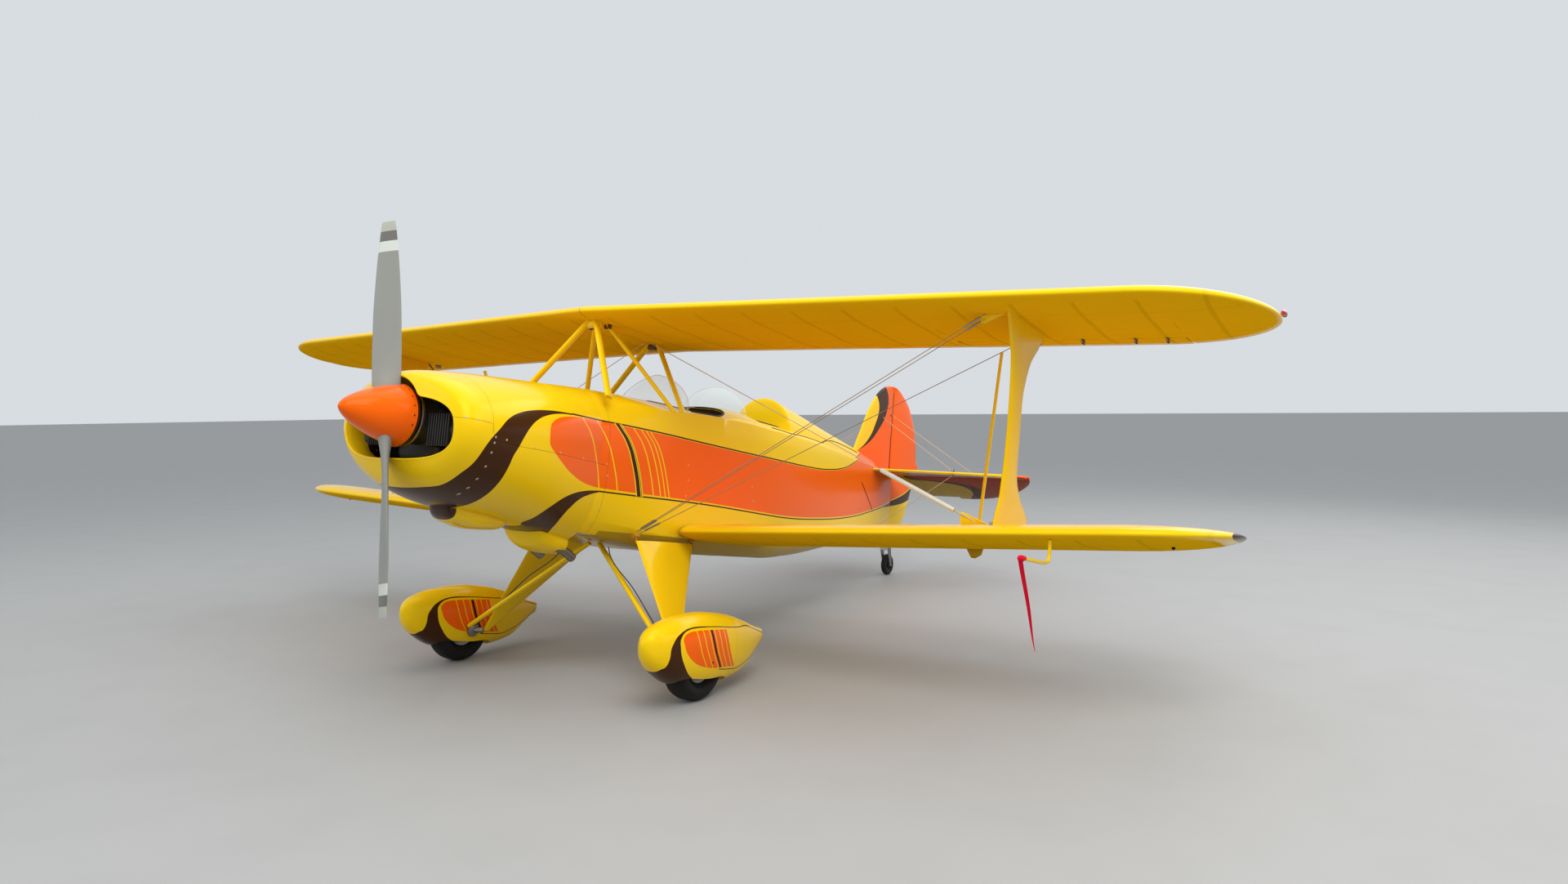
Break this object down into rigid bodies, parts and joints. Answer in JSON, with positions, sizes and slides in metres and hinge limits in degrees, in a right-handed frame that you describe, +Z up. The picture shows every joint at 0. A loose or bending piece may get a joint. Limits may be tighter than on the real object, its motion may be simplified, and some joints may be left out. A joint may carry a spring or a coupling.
{
  "type": "tandem two-seat sport biplane",
  "caption": "Small open-cockpit biplane with tandem seats, swept upper wing, one wide strut per side, spatted fixed gear and a tail wheel, parked tail-down.",
  "frame": {"origin": "on the ground below the centre of the bounding box", "axes": "+X forward towards the nose, +Y to port along the span, +Z up from the ground, parked tail-down"},
  "size_m": [6.4082, 7.3192, 2.5053],
  "materials": {
    "yellow_paint": "gloss",
    "orange_paint": "gloss",
    "propeller_paint": "satin",
    "tyre_rubber": "matt",
    "clear_screen": "gloss",
    "wire_steel": "satin",
    "bare_steel": "satin",
    "cast_engine": "matt",
    "seat_leather": "matt"
  },
  "bodies": {
    "airframe": {"fuselage": "yellow_paint", "turtledeck": "yellow_paint", "cowl_upper": "yellow_paint", "cowl_lower": "yellow_paint", "engine": "cast_engine", "chin_scoop": "yellow_paint", "cooling_outlet": "yellow_paint", "upper_wing_port": "yellow_paint", "lower_wing_port": "yellow_paint", "interplane_strut_port": "yellow_paint", "cabane_front_port": "yellow_paint", "cabane_rear_port": "yellow_paint", "cabane_diagonal_port": "yellow_paint", "flying_wire_front_port": "wire_steel", "flying_wire_rear_port": "wire_steel", "landing_wire_port": "wire_steel", "gear_leg_port": "yellow_paint", "wheel_pant_port": "yellow_paint", "brace_strut_port": "yellow_paint", "exhaust_port": "bare_steel", "stabilizer_port": "orange_paint", "upper_wing_starboard": "yellow_paint", "lower_wing_starboard": "yellow_paint", "interplane_strut_starboard": "yellow_paint", "cabane_front_starboard": "yellow_paint", "cabane_rear_starboard": "yellow_paint", "cabane_diagonal_starboard": "yellow_paint", "flying_wire_front_starboard": "wire_steel", "flying_wire_rear_starboard": "wire_steel", "landing_wire_starboard": "wire_steel", "gear_leg_starboard": "yellow_paint", "wheel_pant_starboard": "yellow_paint", "brace_strut_starboard": "yellow_paint", "exhaust_starboard": "bare_steel", "stabilizer_starboard": "orange_paint", "pitot_mast": "yellow_paint", "fin": "yellow_paint", "tail_spring": "bare_steel", "windscreen_front": "clear_screen", "windscreen_rear": "clear_screen", "seat_front": "seat_leather", "seat_rear": "seat_leather"},
    "propeller_body": {"spinner": "orange_paint", "propeller": "propeller_paint"},
    "wheel_port": {"main_wheel_port": "tyre_rubber"},
    "wheel_starboard": {"main_wheel_starboard": "tyre_rubber"},
    "fork": {"tail_fork": "bare_steel"},
    "wheel_tail": {"tail_wheel": "tyre_rubber"},
    "rudder_body": {"rudder": "orange_paint"},
    "elevator_body": {"elevator": "orange_paint"},
    "aileron_lower_port": {"lower_aileron_port": "yellow_paint"},
    "aileron_upper_port": {"upper_aileron_port": "yellow_paint"},
    "aileron_lower_starboard": {"lower_aileron_starboard": "yellow_paint"},
    "aileron_upper_starboard": {"upper_aileron_starboard": "yellow_paint"},
    "rod_port": {"slave_rod_port": "orange_paint"},
    "rod_starboard": {"slave_rod_starboard": "orange_paint"}
  },
  "joints": [
    {"name": "propeller_spin", "type": "hinge", "parent": "airframe", "child": "propeller_body", "pos_m": [2.94628, 0, 1.5537], "axis": [0.9878, 0, 0.156], "continuous": true},
    {"name": "main_wheel_spin_port", "type": "hinge", "parent": "airframe", "child": "wheel_port", "pos_m": [1.73468, 0.9128, 0.2], "axis": [0, 1, 0], "continuous": true},
    {"name": "main_wheel_spin_starboard", "type": "hinge", "parent": "airframe", "child": "wheel_starboard", "pos_m": [1.73468, -0.9128, 0.2], "axis": [0, 1, 0], "continuous": true},
    {"name": "tail_fork_steer", "type": "hinge", "parent": "airframe", "child": "fork", "pos_m": [-2.4934, 0, 0.25934], "axis": [-0.156, 0, 0.9878], "range_deg": [-45, 45]},
    {"name": "tail_wheel_spin", "type": "hinge", "parent": "fork", "child": "wheel_tail", "pos_m": [-2.52102, 0, 0.095], "axis": [0, 1, 0], "continuous": true},
    {"name": "rudder_hinge", "type": "hinge", "parent": "airframe", "child": "rudder_body", "pos_m": [-2.58752, 0, 0.98352], "axis": [-0.156, 0, 0.9878], "range_deg": [-25, 25]},
    {"name": "elevator_hinge", "type": "hinge", "parent": "airframe", "child": "elevator_body", "pos_m": [-2.52305, 0, 0.9279], "axis": [0, 1, 0], "range_deg": [0, 45]},
    {"name": "lower_aileron_hinge_port", "type": "hinge", "parent": "airframe", "child": "aileron_lower_port", "pos_m": [0.39557, 2.11, 0.75616], "axis": [-0.0077, 0.9988, 0.0489], "range_deg": [-20, 20]},
    {"name": "upper_aileron_hinge_port", "type": "hinge", "parent": "airframe", "child": "aileron_upper_port", "pos_m": [0.54769, 2.11, 1.95266], "axis": [-0.1062, 0.9942, -0.0168], "range_deg": [-20, 20]},
    {"name": "slave_rod_pivot_port", "type": "hinge", "parent": "aileron_lower_port", "child": "rod_port", "pos_m": [0.17927, 1.925, 0.74751], "axis": [0, 1, 0], "range_deg": [-21.4, 21.4]},
    {"name": "lower_aileron_hinge_starboard", "type": "hinge", "parent": "airframe", "child": "aileron_lower_starboard", "pos_m": [0.39557, -2.11, 0.75616], "axis": [0.0077, 0.9988, -0.0489], "range_deg": [-20, 20]},
    {"name": "upper_aileron_hinge_starboard", "type": "hinge", "parent": "airframe", "child": "aileron_upper_starboard", "pos_m": [0.54769, -2.11, 1.95266], "axis": [0.1062, 0.9942, 0.0168], "range_deg": [-20, 20]},
    {"name": "slave_rod_pivot_starboard", "type": "hinge", "parent": "aileron_lower_starboard", "child": "rod_starboard", "pos_m": [0.17927, -1.925, 0.74751], "axis": [0, 1, 0], "range_deg": [-21.4, 21.4]}
  ],
  "couplings": [
    {"joint": "upper_aileron_hinge_port", "follows": "lower_aileron_hinge_port", "ratio": 1},
    {"joint": "lower_aileron_hinge_starboard", "follows": "lower_aileron_hinge_port", "ratio": -1},
    {"joint": "upper_aileron_hinge_starboard", "follows": "lower_aileron_hinge_port", "ratio": -1},
    {"joint": "slave_rod_pivot_port", "follows": "lower_aileron_hinge_port", "ratio": -1.07},
    {"joint": "slave_rod_pivot_starboard", "follows": "lower_aileron_hinge_port", "ratio": 1.07}
  ]
}
